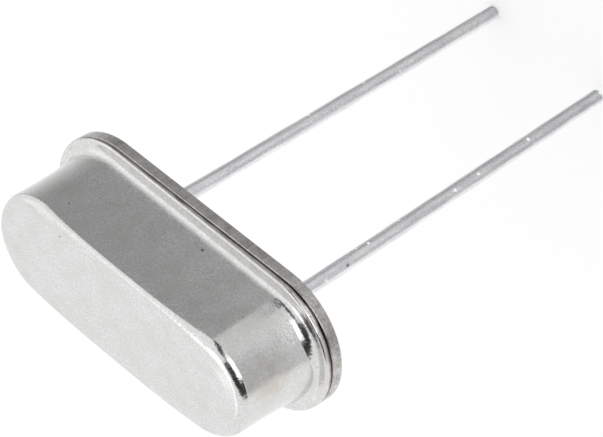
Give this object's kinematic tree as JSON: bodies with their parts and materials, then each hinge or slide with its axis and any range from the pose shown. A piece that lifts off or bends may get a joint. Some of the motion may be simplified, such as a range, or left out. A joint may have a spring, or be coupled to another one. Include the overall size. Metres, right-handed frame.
{
  "type": "crystal oscillator",
  "caption": "Low-profile quartz crystal in an oblong drawn metal can with a welded flange, on a glass-sealed base with straight wire leads.",
  "frame": {"origin": "middle of the base's underside, which is the seating plane on a circuit board, halfway between the leads", "axes": "+Z from the leads towards the can's top, X along the can and through both leads, Y across the can"},
  "size_m": [0.011, 0.0044, 0.0182],
  "materials": {
    "can_metal": "nickel plate over drawn sheet, satin",
    "base_metal": "nickel plate over coined steel, dull",
    "lead_metal": "tinned wire, satin",
    "seal_glass": "fused sealing glass, glossy",
    "clip_metal": "stamped nickel silver strip, satin",
    "quartz": "lapped and polished quartz",
    "silver_film": "evaporated silver",
    "silver_adhesive": "cured silver-filled adhesive, matt"
  },
  "bodies": {
    "root": {"can": "can_metal", "base": "base_metal", "glass_seal_left": "seal_glass", "glass_seal_right": "seal_glass", "lead_left": "lead_metal", "lead_right": "lead_metal", "holder_clip_left": "clip_metal", "holder_clip_right": "clip_metal", "quartz_blank": "quartz", "electrode_top": "silver_film", "electrode_bottom": "silver_film", "adhesive_left": "silver_adhesive", "adhesive_right": "silver_adhesive"}
  },
  "joints": []
}
